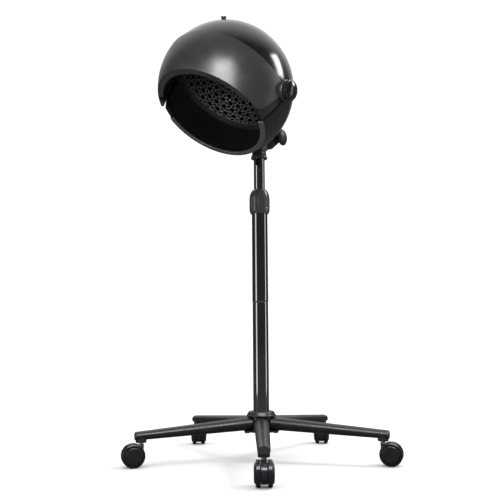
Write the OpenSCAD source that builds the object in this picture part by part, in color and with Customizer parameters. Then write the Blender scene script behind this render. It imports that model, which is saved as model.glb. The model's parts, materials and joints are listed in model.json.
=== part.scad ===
// Hood hair dryer on a rolling stand.
// Five-star base on twin-wheel casters, telescopic pole with a lock collar, swivelling head,
// tilting bracket, and a ball-shaped hood with a flip-up visor.
// Origin: pole axis at floor level. +Z is up. One leg points along -Y.

/* [Base] */
// Distance from the pole axis to each caster stem
stem_circle_r = 311; // [290:1:330]
// Height of the leg's middle line at the hub
leg_root_z = 92; // [90:0.5:96]
// Height of the leg's middle line at the tip
leg_tip_z = 73.5; // [72:0.5:75]
// Width of a leg at the hub
leg_root_w = 40; // [34:1:42]
// Width of a leg at the tip
leg_tip_w = 29; // [27:1:31]
// Diameter of a caster wheel
wheel_d = 56; // [54:1:57]

/* [Pole] */
// Outside diameter of the lower pole tube
lower_tube_d = 41.2; // [40:0.2:42]
// Outside diameter of the upper pole tube
upper_tube_d = 42.4; // [42:0.2:43]
// Outside diameter of the sliding inner tube
inner_tube_d = 30.2; // [29:0.2:31]
// Height of the joint between the two pole tubes
seam_z = 403.6; // [380:0.2:420]
// Height of the top of the inner tube
mast_top_z = 799; // [795:1:850]

/* [Head] */
// How far behind the pole axis the tilt hinge sits
tilt_back = 50; // [48:1:54]
// How far above the inner tube's top the tilt hinge sits
tilt_rise = 65; // [62:1:70]

/* [Hood] */
// Outside diameter of the dome
dome_d = 345; // [340:1:350]
// Thickness of the hood's moulded shells
shell_wall = 3; // [2.5:0.5:3.5]
// Depth of the opening's plane below the centre of the dome
opening_drop = 92; // [88:1:96]
// Turn of the hood about the pole axis, towards the observer's left
hood_yaw = 32.2; // [0:0.1:60]
// Backward tilt of the hood, in degrees
hood_tilt = 29.3; // [25:0.1:32]
// Sideways lean of the hood on its rear mount, in degrees
hood_lean = 12.6; // [0:0.1:15]
// Horizontal distance from the pole axis to the centre of the dome
hood_reach = 157.4; // [157:0.1:164]
// Height of the centre of the dome
hood_z = 942.3; // [940:0.1:996]

/* [Visor] */
// Air gap between the dome and the visor
visor_gap = 0.8; // [0.6:0.1:1.2]
// Angle of the visor's upper edge, measured from the crown towards the front
visor_top_angle = 85.5; // [84:0.5:86]
// Angle of the visor's rear edge, measured from the crown towards the front
visor_rear_angle = 168; // [166:1:170]
// Radius of the visor's lower corners
visor_corner_r = 20; // [10:1:24]

/* [Hidden] */
$fn = 96;

// Clearances
run_gap = 0.06;         // radial clearance of a turning pin in its bore
slip = 0.3;             // gap between faces of bodies that move past each other
eps = 0.01;
far = 400;              // longer than any part of the hood

// Base
leg_count = 5;
front_leg_angle = -90;
leg_step = 360 / leg_count;
leg_angles = [for (i = [0:leg_count - 1]) front_leg_angle + i * leg_step];
caster_angles = [-90, -18, 90, 90, 198];   // which way each caster trails
leg_root_h = 34;
leg_tip_h = 21;
leg_wall = 2;
leg_end_r = stem_circle_r + 16;
leg_start_r = 26;
hub_r = 34.3;
hub_bottom_z = 74.5;
hub_top_z = 109;
hub_flange_r = 46;
hub_flange_t = 3;
leg_bolt_r = 4;
leg_bolt_circle_r = 39;
cover_r = 38;
cover_h = 13;
boss_bottom_z = 57.7;
boss_r = 13.4;
stem_r = 5.5;

// Casters
wheel_r = wheel_d / 2;
caster_trail = 19;
caster_body_t = 14.2;
tread_w = 10.6;
tread_round = 2.4;
hubcap_r = 21;
hubcap_t = 4;
axle_r = 3;
neck_r = 6.9;
neck_top_z = 51.5;

// Pole
tube_wall = 1.6;
lower_tube_r = lower_tube_d / 2;
upper_tube_r = upper_tube_d / 2;
inner_tube_r = inner_tube_d / 2;
upper_tube_top_z = 652;
glide_r = 17.1;
coupler_bore_r = 17.4;
coupler_reach = 33;
seam_ring_h = 1.2;
bush_bottom_z = 598;
collar_r = 27.6;
collar_bottom_z = 642;
collar_top_z = 710;
collar_flutes = 12;
inner_tube_len = 560;

// Head, in a frame turned with the hood: +Y points to the back of the hood
cone_bottom_z = mast_top_z - 2;
cone_h = 34;
cone_base_r = 22.4;
cone_top_r = 17;
cone_ribs = 20;
pin_r = 6;
tilt_z = mast_top_z + tilt_rise;
bolt_r = 5;
knuckle_r = 13;
knuckle_half_w = 21;
cheek_in = 22;
cheek_out = 30;
cheek_r = 14;
knob_disc_r = 23.5;

// Hood, in its own frame: origin at the dome's centre, +X to the hood's side, -Y to the front
dome_r = dome_d / 2;
visor_in_r = dome_r + visor_gap;
visor_out_r = visor_in_r + shell_wall;
trim_t = 4;
lip_inner_r = 135;          // inner radius of the flat lip, in the plane of the opening
cap_r = 150;                // side radius of the perforated inner shell
cap_wall = 2.5;
crown_r = 300;              // radius of the inner shell's flatter crown
crown_top = 112;            // height of that crown above the dome's centre
cap_bottom = 14;
liner_r = 155;
liner_drop = 10;            // the liner's sphere is centred this far below the dome's centre
skin_r = dome_r - shell_wall - 0.5;
skin_front = 17;            // the liner reaches this far in front of the pivots
shell_front = 17;           // the outer shell's side edge stays this far behind the pivots
edge_overlap_angle = 3;     // the dome runs this far under the visor's upper edge
pivot_boss_r = 29;
pivot_boss_out = visor_out_r + 4.7;
pivot_knob_out = dome_r + 30.5;
stop_angle = 51.3;
stop_r = 7;
stop_h = 8;

// Rear mount, in the hood's frame before it is tilted: +Y is the axis of the mount
pod_r = dome_r + 25.5;
pod_half_w = 62;
pod_low = -40;
pod_high = 128;
pod_round = 18;
mount_boss_r = 38;
mount_face = dome_r + 31.5;
friction_t = 2.5;
bracket_t = 8;
bracket_half_w = 18;
bracket_disc_r = 34;
mount_bolt_r = 6;
panel_angle = 33;
panel_w = 84;
panel_h = 48;
panel_floor = pod_r - 6;
panel_face = pod_r + 2.2;
dial_shaft_r = 3;
timer_x = -21;
heat_x = 23;
gland_r = 7;
screw_r = 2;
screw_head_r = 3.5;
screw_sink = 1.5;
screw_x = pod_half_w - 13;
screw_z = [pod_low + 14, pod_high - 14];

// ---------------------------------------------------------------- frames

module at_leg(i) { rotate([0, 0, leg_angles[i]]) children(); }

module at_caster(i) {
    rotate([0, 0, leg_angles[i]]) translate([stem_circle_r, 0, 0])
        rotate([0, 0, caster_angles[i] - leg_angles[i]]) children();
}

module head_frame() { rotate([0, 0, -hood_yaw]) children(); }

module rear_frame() {
    head_frame() translate([0, -hood_reach, hood_z]) rotate([0, hood_lean, 0]) children();
}

module hood_frame() { rear_frame() rotate([-hood_tilt, 0, 0]) children(); }

module along_x() { rotate([0, 90, 0]) children(); }

module along_y() { rotate([-90, 0, 0]) children(); }

// ---------------------------------------------------------------- helpers

module tube(r, wall, z0, z1) {
    translate([0, 0, z0]) difference() {
        cylinder(r = r, h = z1 - z0);
        translate([0, 0, -1]) cylinder(r = r - wall, h = z1 - z0 + 2);
    }
}

module bar(r, z0, z1) { translate([0, 0, z0]) cylinder(r = r, h = z1 - z0); }

module rounded_rect(w, h, r) {
    square([w, h - 2 * r], center = true);
    square([w - 2 * r, h], center = true);
    for (x = [-1, 1], y = [-1, 1])
        translate([x * (w / 2 - r), y * (h / 2 - r)]) circle(r = r);
}

// Points of an arc about [cx, cy]
function arc(cx, cy, r, a0, a1, steps) =
    [for (i = [0:steps]) let (a = a0 + (a1 - a0) * i / steps) [cx + r * cos(a), cy + r * sin(a)]];

// ---------------------------------------------------------------- base

module leg_section(radius, z, w, h) {
    translate([radius, 0, z]) rotate([0, 90, 0]) linear_extrude(0.2)
        scale([h / 2, w / 2]) circle(r = 1, $fn = 40);
}

module leg_solid(inset, from_r, to_r) {
    hull() {
        leg_section(from_r, leg_root_z, leg_root_w - 2 * inset, leg_root_h - 2 * inset);
        leg_section(to_r - 0.2, leg_tip_z, leg_tip_w - 2 * inset, leg_tip_h - 2 * inset);
    }
}

module leg(i) {
    color("dimgray") at_leg(i) difference() {
        leg_solid(0, leg_start_r, leg_end_r);
        leg_solid(leg_wall, leg_start_r - 1, leg_end_r + 1);
        bar(hub_r, 0, hub_top_z + 1);
        bar(hub_flange_r, 0, hub_bottom_z);
        translate([stem_circle_r, 0, 0]) bar(boss_r + 0.2, boss_bottom_z, leg_tip_z);
        translate([leg_bolt_circle_r, 0, 0]) bar(leg_bolt_r + 0.1, hub_bottom_z - 5, leg_root_z);
    }
}

module leg_end_cap(i) {
    plug_len = 34;
    at_leg(i) difference() {
        union() {
            intersection() {
                leg_solid(leg_wall + 0.2, leg_start_r, leg_end_r);
                translate([leg_end_r - plug_len, -50, boss_bottom_z]) cube([plug_len, 100, 60]);
            }
            translate([stem_circle_r, 0, 0]) bar(boss_r, boss_bottom_z, leg_tip_z);
        }
        translate([stem_circle_r, 0, 0]) bar(stem_r + run_gap, boss_bottom_z - 1, leg_tip_z + 7);
    }
}

module leg_end_caps() {
    color("black") for (i = [0:leg_count - 1]) leg_end_cap(i);
}

module leg_bolts() {
    head_h = 4;
    color("silver") for (i = [0:leg_count - 1]) at_leg(i) translate([leg_bolt_circle_r, 0, 0]) {
        bar(leg_bolt_r, hub_bottom_z - hub_flange_t, leg_root_z - 1);
        translate([0, 0, hub_bottom_z - hub_flange_t - head_h]) cylinder(r = 7, h = head_h, $fn = 6);
    }
}

module hub() {
    color("dimgray") difference() {
        union() {
            bar(hub_r, hub_bottom_z, hub_top_z);
            bar(hub_flange_r, hub_bottom_z - hub_flange_t, hub_bottom_z);
        }
        bar(lower_tube_r, hub_bottom_z + 1.5, hub_top_z + 1);
        bar(12, 0, hub_top_z);
        for (i = [0:leg_count - 1]) at_leg(i) translate([leg_bolt_circle_r, 0, 0])
            bar(leg_bolt_r, 0, hub_bottom_z + 1);
    }
}

module hub_cover() {
    round_r = 7;
    top_r = 33;
    color("dimgray") translate([0, 0, hub_top_z]) rotate_extrude() polygon(concat(
        [[lower_tube_r, 0], [cover_r, 0], [cover_r, 3]],
        arc(top_r - round_r, cover_h - round_r, round_r, 20, 90, 8),
        [[lower_tube_r, cover_h]]
    ));
}

// ---------------------------------------------------------------- casters

module caster_stem(i) {
    color("silver") at_caster(i) {
        bar(stem_r, neck_top_z - 12, leg_tip_z + 6);
        bar(stem_r + 2.2, neck_top_z, boss_bottom_z - 3);
    }
}

module caster_body(i) {
    plate_r = wheel_r - 5.5;
    color("black") at_caster(i) difference() {
        union() {
            translate([caster_trail, caster_body_t / 2, wheel_r]) rotate([90, 0, 0])
                cylinder(r = plate_r, h = caster_body_t);
            translate([0, -caster_body_t / 2, wheel_r - 4])
                cube([caster_trail, caster_body_t, plate_r]);
            bar(neck_r, wheel_r - 4, neck_top_z);
        }
        bar(stem_r, neck_top_z - 12, neck_top_z + 1);
        translate([caster_trail, 20, wheel_r]) rotate([90, 0, 0])
            cylinder(r = axle_r + run_gap, h = 40);
    }
}

// One wheel of the pair, revolved about its own axle, with its inner face at height 0
module caster_wheel() {
    difference() {
        rotate_extrude() polygon(concat(
            [[0, 0], [wheel_r - tread_round, 0]],
            arc(wheel_r - tread_round, tread_round, tread_round, -90, 0, 5),
            arc(wheel_r - tread_round, tread_w - tread_round, tread_round, 0, 90, 5),
            [[hubcap_r + 1, tread_w], [hubcap_r, tread_w + 1]],
            arc(hubcap_r - 3, tread_w + hubcap_t - 3, 3, 0, 90, 5),
            [[0, tread_w + hubcap_t]]
        ));
        bar(axle_r, -1, tread_w - 2);
    }
}

module caster_wheels(i) {
    wheel_in = caster_body_t / 2 + slip;
    color("black") at_caster(i) translate([caster_trail, 0, wheel_r]) {
        for (side = [-1, 1]) rotate([side * 90, 0, 0]) translate([0, 0, wheel_in]) caster_wheel();
        rotate([90, 0, 0]) translate([0, 0, -wheel_in - tread_w + 2])
            cylinder(r = axle_r, h = 2 * (wheel_in + tread_w - 2));
    }
}

// ---------------------------------------------------------------- pole

module lower_tube() {
    color("black") tube(lower_tube_r, tube_wall, hub_bottom_z + 1.5, seam_z);
}

module tube_coupler() {
    lower_in = lower_tube_r - tube_wall;
    upper_in = upper_tube_r - tube_wall;
    color("silver") rotate_extrude() polygon([
        [coupler_bore_r, seam_z - coupler_reach], [lower_in, seam_z - coupler_reach],
        [lower_in, seam_z], [lower_tube_r, seam_z], [upper_tube_r, seam_z + seam_ring_h],
        [upper_in, seam_z + seam_ring_h], [upper_in, seam_z + coupler_reach],
        [coupler_bore_r, seam_z + coupler_reach]
    ]);
}

module upper_tube() {
    color("black") tube(upper_tube_r, tube_wall, seam_z + seam_ring_h, upper_tube_top_z);
}

module guide_bush() {
    flange_t = 3;
    color("gray") difference() {
        union() {
            bar(upper_tube_r - tube_wall, bush_bottom_z, upper_tube_top_z);
            bar(upper_tube_r, upper_tube_top_z, upper_tube_top_z + flange_t);
        }
        bar(inner_tube_r + run_gap, bush_bottom_z - 1, upper_tube_top_z + flange_t + 1);
    }
}

module lock_collar() {
    flute_r = 26;
    flute_depth = 0.9;
    chamber_top_z = upper_tube_top_z + 6;
    shoulder_z = collar_top_z - 20;
    color("dimgray") difference() {
        rotate_extrude() polygon(concat(
            [[inner_tube_r + slip, collar_bottom_z], [23, collar_bottom_z],
             [26.4, collar_bottom_z + 6], [collar_r, collar_bottom_z + 11],
             [collar_r, shoulder_z - 2], [26.4, shoulder_z]],
            arc(26.2 - 14, collar_top_z - 16, 14, 0, 62, 8),
            [[17.4, collar_top_z], [inner_tube_r + slip, collar_top_z]]
        ));
        bar(upper_tube_r + run_gap, collar_bottom_z - 1, chamber_top_z);
        for (i = [0:collar_flutes - 1]) rotate([0, 0, (i + 0.5) * 360 / collar_flutes])
            translate([collar_r + flute_r - flute_depth, 0, collar_bottom_z + 13])
                cylinder(r = flute_r, h = shoulder_z - collar_bottom_z - 18);
    }
}

module inner_tube() {
    color("black") tube(inner_tube_r, tube_wall, mast_top_z - inner_tube_len, mast_top_z);
}

module tube_glide() {
    glide_z = mast_top_z - inner_tube_len;
    color("white") difference() {
        union() {
            bar(glide_r, glide_z - 12, glide_z);
            bar(inner_tube_r - tube_wall, glide_z, glide_z + 14);
        }
        bar(9, glide_z - 13, glide_z + 15);
    }
}

module swivel_bush() {
    color("white") difference() {
        bar(inner_tube_r - tube_wall, mast_top_z - 32, mast_top_z);
        bar(pin_r + run_gap, mast_top_z - 33, mast_top_z + 1);
    }
}

// ---------------------------------------------------------------- head and bracket

// Side view of the arm from the cone up to the tilt hinge, in the Y-Z plane
module arm_side() {
    root = [0, cone_bottom_z + cone_h - 2];
    tip = [tilt_back, tilt_z];
    root_r = 15;
    slope = atan2(tip[1] - root[1], tip[0] - root[0]);
    n = [-sin(slope), cos(slope)];
    polygon([root + root_r * n, tip + cheek_r * n, tip - cheek_r * n, root - root_r * n]);
    translate(root) circle(r = root_r);
    translate(tip) circle(r = cheek_r);
}

module swivel_head() {
    color("black") head_frame() difference() {
        union() {
            bar_cone();
            rotate([90, 0, 90]) translate([0, 0, -cheek_out])
                linear_extrude(2 * cheek_out) arm_side();
            translate([cheek_out - eps, tilt_back, tilt_z]) along_x() cylinder(r = 10, h = 4 + eps);
        }
        // clearance for the bracket's knuckle and plate between the cheeks
        translate([-cheek_in, tilt_back, tilt_z]) along_x()
            cylinder(r = knuckle_r + 3, h = 2 * cheek_in);
        translate([-cheek_in, tilt_back - bracket_t - 2, tilt_z])
            cube([2 * cheek_in, 60, 60]);
        // the arm narrows towards the cone, so that the hood clears it
        for (side = [-1, 1]) translate([side * (cone_top_r + 20), 0, cone_bottom_z + cone_h])
            cube([40, 40, 60], center = true);
        translate([-50, tilt_back, tilt_z]) along_x() cylinder(r = bolt_r, h = 100);
        bar(pin_r, 0, cone_bottom_z + cone_h - 6);
        bar(inner_tube_r + slip, 0, mast_top_z + slip);
        bar(cone_top_r + 60, 0, cone_bottom_z);
    }
}

module bar_cone() {
    rib_r = 1.6;
    translate([0, 0, cone_bottom_z]) cylinder(r1 = cone_base_r - 1, r2 = cone_top_r, h = cone_h);
    bar(cone_base_r, cone_bottom_z, cone_bottom_z + 6);
    for (i = [0:cone_ribs - 1]) rotate([0, 0, i * 360 / cone_ribs])
        translate([cone_top_r - 0.4, 0, cone_bottom_z + 3]) cylinder(r = rib_r, h = cone_h - 6);
}

module swivel_pin() {
    color("silver") bar(pin_r, mast_top_z - 34, cone_bottom_z + cone_h - 6);
}

module tilt_bolt() {
    head_t = 5;
    color("silver") head_frame() translate([0, tilt_back, tilt_z]) along_x() {
        bar(bolt_r, -cheek_out, cheek_out + 17);
        translate([0, 0, -cheek_out - head_t]) cylinder(r = 8, h = head_t, $fn = 6);
    }
}

module tilt_knob() {
    stem_start = cheek_out + 4 + slip;
    disc_start = cheek_out + 12;
    dome_h = 13;
    color("black") head_frame() translate([0, tilt_back, tilt_z]) along_x() difference() {
        rotate_extrude() polygon(concat(
            [[0, stem_start], [9, stem_start], [10, disc_start], [knob_disc_r - 1.5, disc_start]],
            [for (i = [0:10]) let (a = i * 9)
                [knob_disc_r * cos(a), disc_start + 2 + (dome_h - 2) * sin(a)]]
        ));
        bar(bolt_r + run_gap, 0, cheek_out + 19);
    }
}

module bracket() {
    plate_y = mount_face + friction_t;
    knuckle_y = hood_reach + tilt_back;
    drop = hood_z - tilt_z;
    color("black") head_frame() translate([0, -hood_reach, hood_z]) difference() {
        union() {
            translate([0, plate_y, 0]) along_y() cylinder(r = bracket_disc_r, h = bracket_t);
            translate([-bracket_half_w, plate_y, -drop]) cube([2 * bracket_half_w, bracket_t, drop]);
            translate([-knuckle_half_w, knuckle_y, -drop]) along_x()
                cylinder(r = knuckle_r, h = 2 * knuckle_half_w);
        }
        translate([0, plate_y - 1, 0]) along_y() cylinder(r = mount_bolt_r + run_gap, h = bracket_t + 2);
        translate([-knuckle_half_w - 1, knuckle_y, -drop]) along_x()
            cylinder(r = bolt_r + run_gap, h = 2 * knuckle_half_w + 2);
    }
}

module friction_disc() {
    color("tan") rear_frame() translate([0, mount_face, 0]) along_y() difference() {
        cylinder(r = bracket_disc_r - 3, h = friction_t - 0.02);
        translate([0, 0, -1]) cylinder(r = mount_bolt_r, h = friction_t + 2);
    }
}

module mount_bolt() {
    head_h = 7;
    plate_back = mount_face + friction_t + bracket_t;
    color("silver") rear_frame() along_y() {
        bar(mount_bolt_r, mount_face - 10, plate_back + slip);
        bar(14, plate_back + slip, plate_back + slip + 2);
        translate([0, 0, plate_back + slip + 2]) cylinder(r = 11, h = head_h, $fn = 6);
        translate([0, 0, mount_face - 14]) cylinder(r = 11, h = 8, $fn = 6);
    }
}

// ---------------------------------------------------------------- hood

// Half-space wedge about the X axis, from angle a0 to angle a1 measured from the crown to the front
module front_wedge(a0, a1) {
    p = [for (a = [a0, (a0 + a1) / 2, a1]) far * [-sin(a), cos(a)]];
    rotate([90, 0, 90]) translate([0, 0, -far]) linear_extrude(2 * far)
        polygon([[0, 0], p[0], p[1], p[2]]);
}

module above(z) { translate([-far, -far, z]) cube([2 * far, 2 * far, far]); }

module behind(y) { translate([-far, y, -far]) cube([2 * far, far, 2 * far]); }

module ball(r, z = 0) { translate([0, 0, z]) sphere(r = r, $fn = 128); }

module outer_shell() {
    color("black") hood_frame() difference() {
        ball(dome_r);
        ball(dome_r - shell_wall);
        difference() {
            front_wedge(visor_top_angle + edge_overlap_angle, 185);
            behind(shell_front);
        }
        difference() {
            translate([-far, 0, -far]) cube([2 * far, shell_front, far]);
            above(0);
        }
        mirror([0, 0, 1]) above(opening_drop - trim_t);
        translate([-far, 0, 0]) along_x() cylinder(r = bolt_r, h = 2 * far);
        rotate([stop_angle, 0, 0]) cylinder(r = stop_r / 2, h = far);
        rotate([hood_tilt, 0, 0]) translate([0, 0, 62]) along_y() cylinder(r = 40, h = far);
        rotate([hood_tilt, 0, 0]) along_y() cylinder(r = 20, h = far);
    }
}

module rim_trim() {
    color("gray") hood_frame() intersection() {
        difference() {
            ball(dome_r);
            bar(lip_inner_r, -far, far);
            above(trim_t - opening_drop - eps);
        }
        above(-opening_drop);
        behind(shell_front);
    }
}

module liner() {
    wall = cap_wall;
    color([0.08, 0.08, 0.09]) hood_frame() difference() {
        intersection() {
            ball(skin_r);
            above(trim_t - opening_drop);
            behind(-skin_front);
        }
        ball(liner_r, -liner_drop);
        above(cap_bottom - wall - 0.3);
        difference() {
            ball(skin_r - wall);
            ball(liner_r + wall, -liner_drop);
            mirror([0, 0, 1]) above(opening_drop - trim_t - wall);
            mirror([0, 1, 0]) behind(skin_front - wall);
        }
        translate([-far, 0, 0]) along_x() cylinder(r = 12, h = 2 * far);
    }
}

// Rings of vents in the inner shell: angle above the horizontal, and number of vents
vent_rings = [[11, 16], [21, 16], [31, 14], [43, 12], [58, 8]];
vent_r = 6;

module inner_shell() {
    flange_r = 167.5;
    color([0.1, 0.1, 0.11]) hood_frame() {
        difference() {
            intersection() {
                ball(cap_r);
                ball(crown_r, crown_top - crown_r);
                above(cap_bottom);
            }
            intersection() {
                ball(cap_r - cap_wall);
                ball(crown_r - cap_wall, crown_top - crown_r);
            }
            for (ring = vent_rings, i = [0:ring[1] - 1])
                rotate([0, -ring[0], i * 360 / ring[1]]) along_x() bar(vent_r, 60, cap_r + 20);
        }
        difference() {
            bar(flange_r, cap_bottom - cap_wall, cap_bottom + eps);
            bar(cap_r - 4, 0, far);
            for (side = [-1, 1]) translate([side * 165, 0, 0]) bar(16, 0, far);
        }
    }
}

module visor_stop() {
    color("black") hood_frame() rotate([stop_angle, 0, 0]) {
        bar(stop_r / 2, dome_r - shell_wall - 4, dome_r);
        intersection() {
            bar(stop_r, dome_r - 1, dome_r + stop_h);
            difference() {
                ball(far);
                rotate([-stop_angle, 0, 0]) ball(dome_r);
            }
        }
    }
}

module visor() {
    flange_front = 40;
    color([0.05, 0.05, 0.06]) hood_frame() difference() {
        union() {
            intersection() {
                difference() { ball(visor_out_r); ball(visor_in_r); }
                front_wedge(visor_top_angle, visor_rear_angle);
            }
            intersection() {
                ball(visor_out_r);
                mirror([0, 0, 1]) above(opening_drop - trim_t);
                mirror([0, 1, 0]) behind(flange_front);
                difference() { ball(far); bar(lip_inner_r, -far, far); }
            }
            for (side = [0, 1]) mirror([side, 0, 0]) along_x()
                bar(pivot_boss_r, visor_in_r - 4, pivot_boss_out);
        }
        intersection() {
            ball(visor_in_r);
            above(trim_t - opening_drop);
        }
        mirror([0, 0, 1]) above(opening_drop);
        lower_corners();
        translate([-far, 0, 0]) along_x() cylinder(r = bolt_r + run_gap, h = 2 * far);
    }
}

// What is cut off where the visor's rear edge meets the plane of the opening
module lower_corners() {
    lean = 180 - visor_rear_angle;
    r = visor_corner_r;
    centre = [-(opening_drop - r) * tan(lean) - r / cos(lean), r - opening_drop];
    touch = centre + r * [cos(lean), -sin(lean)];
    rotate([90, 0, 90]) translate([0, 0, -far]) linear_extrude(2 * far) difference() {
        polygon([[centre[0], -opening_drop - 1], [20, -opening_drop - 1], [20, touch[1]], touch,
                 centre]);
        translate(centre) circle(r = r);
    }
}

module pivot_bolts() {
    color("silver") hood_frame() for (side = [0, 1]) mirror([side, 0, 0]) along_x() {
        bar(bolt_r, dome_r - shell_wall - 1, pivot_boss_out + 8);
        bar(11, dome_r - shell_wall - 5, dome_r - shell_wall - 1);
    }
}

module pivot_knob(side) {
    hub_out = pivot_boss_out + 8;
    rib_count = 18;
    crown_h = pivot_knob_out - hub_out - 3;
    color("black") hood_frame() mirror([side, 0, 0]) along_x() difference() {
        union() {
            bar(22, pivot_boss_out + slip, hub_out);
            for (i = [0:rib_count - 1]) rotate([0, 0, i * 360 / rib_count])
                translate([21.6, 0, 0]) bar(1.5, pivot_boss_out + slip, hub_out);
            rotate_extrude() polygon(concat(
                [[0, hub_out], [24.5, hub_out], [26, hub_out + 1.5], [26, hub_out + 3]],
                [for (i = [1:10]) let (a = i * 9)
                    [26 * cos(a), hub_out + 3 + crown_h * sin(a)]]
            ));
        }
        bar(bolt_r + run_gap, 0, hub_out + 1);
    }
}

// ---------------------------------------------------------------- rear housing and controls

module pod_prism(inset) {
    w = 2 * (pod_half_w - inset);
    h = pod_high - pod_low - 2 * inset;
    translate([0, 0, (pod_high + pod_low) / 2]) along_y() linear_extrude(far)
        rounded_rect(w, h, pod_round - inset);
}

module rear_housing() {
    wall = shell_wall;
    vent_w = 5;
    color([0.07, 0.07, 0.08]) rear_frame() difference() {
        union() {
            intersection() { ball(pod_r); pod_prism(0); }
            along_y() bar(mount_boss_r, 150, mount_face);
        }
        difference() {
            intersection() { ball(pod_r - wall); pod_prism(wall); }
            difference() {
                along_y() bar(mount_boss_r, 100, mount_face);
                along_y() bar(mount_boss_r - 4, 100, mount_face - 5);
            }
        }
        ball(dome_r + 0.1);
        along_y() bar(mount_bolt_r, 100, mount_face + 1);
        along_y() bar(mount_boss_r - 4, 100, mount_face - 5);
        panel_frame() translate([0, 0, panel_floor]) linear_extrude(40)
            rounded_rect(panel_w + 2 * slip, panel_h + 2 * slip, 8);
        for (x = [-16:12:44]) translate([x, 100, pod_low - 5]) cube([vent_w, 84, 12]);
        gland_frame() bar(gland_r, -12, 12);
        at_screws() {
            bar(screw_r, -20, 1);
            bar(screw_head_r + 0.1, -screw_sink, 20);
        }
    }
}

// The four screws: origin where each screw's axis meets the housing's surface, +Z outwards
module at_screws() {
    for (x = [-screw_x, screw_x], z = screw_z)
        translate([x, sqrt(pow(pod_r, 2) - pow(x, 2) - pow(z, 2)), z]) along_y() children();
}

module panel_frame() { rotate([panel_angle - 90, 0, 0]) children(); }

module gland_frame() { translate([-36, dome_r + 4, pod_low]) children(); }

module control_panel() {
    color([0.13, 0.13, 0.14]) rear_frame() panel_frame() difference() {
        translate([0, 0, panel_floor]) linear_extrude(panel_face - panel_floor)
            rounded_rect(panel_w, panel_h, 7.7);
        for (x = [timer_x, heat_x]) translate([x, 0, 0]) bar(dial_shaft_r, 0, far);
    }
}

module dial(r, h) {
    pointer_w = 2;
    difference() {
        union() {
            bar(dial_shaft_r - run_gap, panel_floor - 6, panel_face + 1);
            bar(r, panel_face + slip, panel_face + 4);
            bar(r - 3, panel_face + 4, panel_face + h);
        }
        translate([-pointer_w / 2, r / 3, panel_face + h - 1]) cube([pointer_w, r, 2]);
    }
}

module timer_knob() {
    color("gray") rear_frame() panel_frame() translate([timer_x, 0, 0]) dial(17, 16);
}

module heat_knob() {
    color("gray") rear_frame() panel_frame() translate([heat_x, 0, 0]) dial(14, 14);
}

module housing_screws() {
    slot_w = 1;
    color("silver") rear_frame() at_screws() difference() {
        union() {
            bar(screw_r, -10, 0);
            bar(screw_head_r, -screw_sink, 1.2);
        }
        translate([-5, -slot_w / 2, 0.4]) cube([10, slot_w, 3]);
    }
}

module cord_gland() {
    bore_r = 3.75;
    color("black") rear_frame() gland_frame() difference() {
        union() {
            bar(gland_r, -12, 8);
            translate([0, 0, -4]) cylinder(r = 11, h = 4, $fn = 6);
            bar(10, shell_wall, 7);
        }
        bar(bore_r, -13, 9);
    }
}

// ---------------------------------------------------------------- fan and heater

fan_floor = 128;
shaft_r = 4;
heater_in_r = 72;
heater_out_r = 100;
heater_mid_r = (heater_in_r + heater_out_r) / 2;
heater_z = 108;
thermostat_r = 5;

module motor_mount() {
    ring_r = 47;
    color("lightgray") hood_frame() difference() {
        intersection() {
            bar(ring_r, fan_floor, far);
            ball(dome_r - shell_wall);
        }
        bar(ring_r - 3, fan_floor + 3, far);
        bar(10, 0, far);
    }
}

module fan_motor() {
    motor_r = 30;
    color("silver") hood_frame() difference() {
        union() {
            bar(motor_r, fan_floor + 3, fan_floor + 27);
            bar(motor_r - 12, fan_floor + 27, fan_floor + 34);
        }
        bar(shaft_r + run_gap, 0, fan_floor + 30);
    }
}

module impeller() {
    blade_count = 14;
    blade_t = 1.6;
    blade_in = 26;
    disc_r = 58;
    color("dimgray") hood_frame() {
        bar(shaft_r, fan_floor - 14, fan_floor + 29);
        bar(disc_r, fan_floor - 5, fan_floor - 3);
        for (i = [0:blade_count - 1]) rotate([0, 0, i * 360 / blade_count])
            translate([blade_in, -blade_t / 2, fan_floor - 14])
                cube([disc_r - blade_in - 2, blade_t, 10]);
    }
}

module heater_frame() {
    post_r = 3;
    color("tan") hood_frame() difference() {
        union() {
            bar(heater_out_r, heater_z - 2, heater_z);
            for (i = [0:5]) rotate([0, 0, i * 60 + 30]) translate([heater_mid_r, 0, 0])
                bar(post_r, 80, heater_z - 1);
        }
        bar(heater_in_r, heater_z - 3, heater_z + 1);
        ball(crown_r, crown_top - crown_r);
        for (i = [0:5]) rotate([0, 0, i * 60]) translate([heater_mid_r, 0, 0])
            bar(thermostat_r, heater_z - 10, heater_z + 1);
    }
}

module heater_coil() {
    coil_r = 3;
    color("orange") hood_frame() for (r = [heater_mid_r - 10, heater_mid_r + 10]) rotate_extrude()
        translate([r, heater_z + coil_r]) circle(r = coil_r, $fn = 24);
}

module thermostat() {
    color("silver") hood_frame() translate([heater_mid_r, 0, 0]) {
        bar(thermostat_r + 1.5, heater_z, heater_z + 3);
        bar(thermostat_r, heater_z - 5, heater_z);
    }
}

// ---------------------------------------------------------------- assembly

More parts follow.
